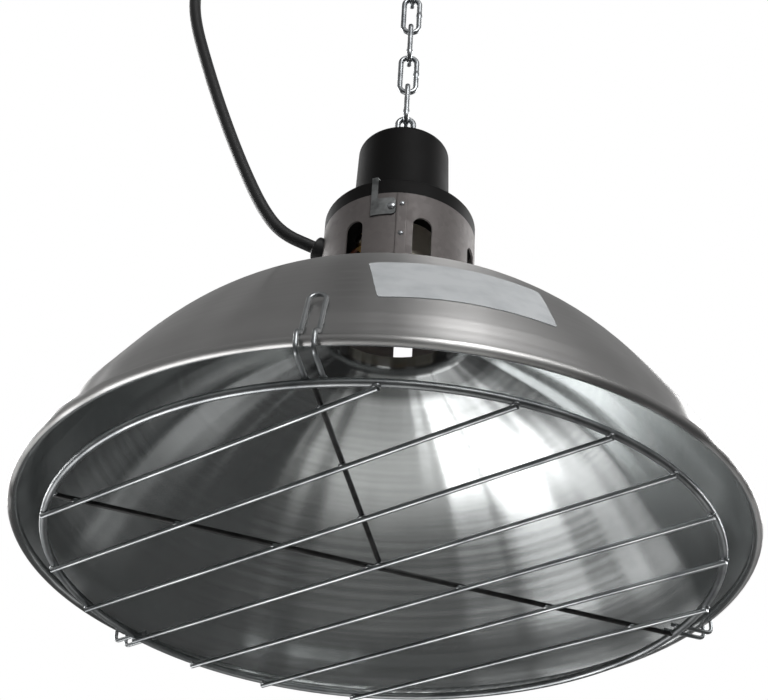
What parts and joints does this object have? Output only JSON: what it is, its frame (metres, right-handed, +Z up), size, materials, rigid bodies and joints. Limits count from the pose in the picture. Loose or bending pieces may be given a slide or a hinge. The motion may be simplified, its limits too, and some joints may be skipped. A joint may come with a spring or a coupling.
{
  "type": "heat lamp",
  "caption": "Hanging brooder heat lamp: spun bell reflector, vented neck, black cap, screw lampholder, clip-on wire guard, chain with S hook and a coiled mains lead.",
  "frame": {"origin": "inside of the S hook's upper bend, where it bears on what the lamp hangs from", "axes": "+Z up along the chain and the lamp's axis, -Y towards the front, +X to the right"},
  "size_m": [0.3408, 0.3408, 0.5918],
  "materials": {
    "spun_aluminium": "spun, satin",
    "neck_sheet": "dull plated sheet",
    "black_thermoset": "satin",
    "plated_steel": "zinc plated",
    "guard_wire": "zinc plated wire",
    "steatite": "matt",
    "brass": "drawn",
    "pin_metal": "nickel plated",
    "cord_rubber": "matt",
    "core_brown": "satin",
    "core_blue": "satin",
    "tie_nylon": "satin"
  },
  "bodies": {
    "hook": {"s_hook": "plated_steel"},
    "link_11": {"chain_link_11": "plated_steel"},
    "link_10": {"chain_link_10": "plated_steel"},
    "tied_chain": {"chain_link_5": "plated_steel", "chain_link_6": "plated_steel", "chain_link_7": "plated_steel", "chain_link_8": "plated_steel", "chain_link_9": "plated_steel", "mains_cord": "cord_rubber", "cord_coil": "cord_rubber", "cord_tie_1": "tie_nylon", "cord_tie_2": "tie_nylon", "plug_body": "cord_rubber", "plug_relief": "cord_rubber", "plug_pin_1": "pin_metal", "plug_pin_2": "pin_metal"},
    "link_4": {"chain_link_4": "plated_steel"},
    "link_3": {"chain_link_3": "plated_steel"},
    "link_2": {"chain_link_2": "plated_steel"},
    "link_1": {"chain_link_1": "plated_steel"},
    "lamp": {"reflector": "spun_aluminium", "neck_sleeve": "neck_sheet", "cap_flange": "black_thermoset", "lamp_cap": "black_thermoset", "eye_bolt": "plated_steel", "eye_locknut": "plated_steel", "eye_nut": "plated_steel", "holder_body": "steatite", "screw_shell": "brass", "centre_contact": "brass", "terminal_live": "brass", "terminal_neutral": "brass", "core_live": "core_brown", "core_neutral": "core_blue", "cord_grommet": "cord_rubber", "cord_tail": "cord_rubber", "flange_strap_1": "plated_steel", "flange_strap_2": "plated_steel", "flange_strap_3": "plated_steel"},
    "guard": {"guard_ring": "guard_wire", "guard_brace": "guard_wire", "guard_spoke": "guard_wire", "guard_bar_1": "guard_wire", "guard_bar_2": "guard_wire", "guard_bar_3": "guard_wire", "guard_bar_4": "guard_wire", "guard_bar_5": "guard_wire", "guard_bar_6": "guard_wire", "guard_bar_7": "guard_wire", "guard_clip_1": "guard_wire", "guard_clip_2": "guard_wire", "guard_clip_3": "guard_wire"}
  },
  "joints": [
    {"name": "link_11_swing", "type": "hinge", "parent": "hook", "child": "link_11", "pos_m": [0, 0, -0.047], "axis": [1, 0, 0], "range_deg": [-40, 40]},
    {"name": "link_10_swing", "type": "hinge", "parent": "link_11", "child": "link_10", "pos_m": [0, 0, -0.0705], "axis": [0, 1, 0], "range_deg": [-40, 40]},
    {"name": "coil_swing", "type": "hinge", "parent": "link_10", "child": "tied_chain", "pos_m": [0, 0, -0.0945], "axis": [1, 0, 0], "range_deg": [-40, 40]},
    {"name": "link_4_swing", "type": "hinge", "parent": "tied_chain", "child": "link_4", "pos_m": [0, 0, -0.2145], "axis": [0, 1, 0], "range_deg": [-15, 15], "deforming": ["mains_cord"]},
    {"name": "link_3_swing", "type": "hinge", "parent": "link_4", "child": "link_3", "pos_m": [0, 0, -0.2385], "axis": [1, 0, 0], "range_deg": [-15, 15], "deforming": ["mains_cord"]},
    {"name": "link_2_swing", "type": "hinge", "parent": "link_3", "child": "link_2", "pos_m": [0, 0, -0.2625], "axis": [0, 1, 0], "range_deg": [-15, 15], "deforming": ["mains_cord"]},
    {"name": "link_1_swing", "type": "hinge", "parent": "link_2", "child": "link_1", "pos_m": [0, 0, -0.2865], "axis": [1, 0, 0], "range_deg": [-15, 15], "deforming": ["mains_cord"]},
    {"name": "lamp_swing", "type": "hinge", "parent": "link_1", "child": "lamp", "pos_m": [0, 0, -0.3105], "axis": [0, 1, 0], "range_deg": [-15, 15], "deforming": ["mains_cord"]},
    {"name": "guard_pull", "type": "slide", "parent": "lamp", "child": "guard", "axis": [0, 0, -1], "range_m": [0, 0.04], "deforming": ["guard_clip_1", "guard_clip_2", "guard_clip_3"]}
  ]
}
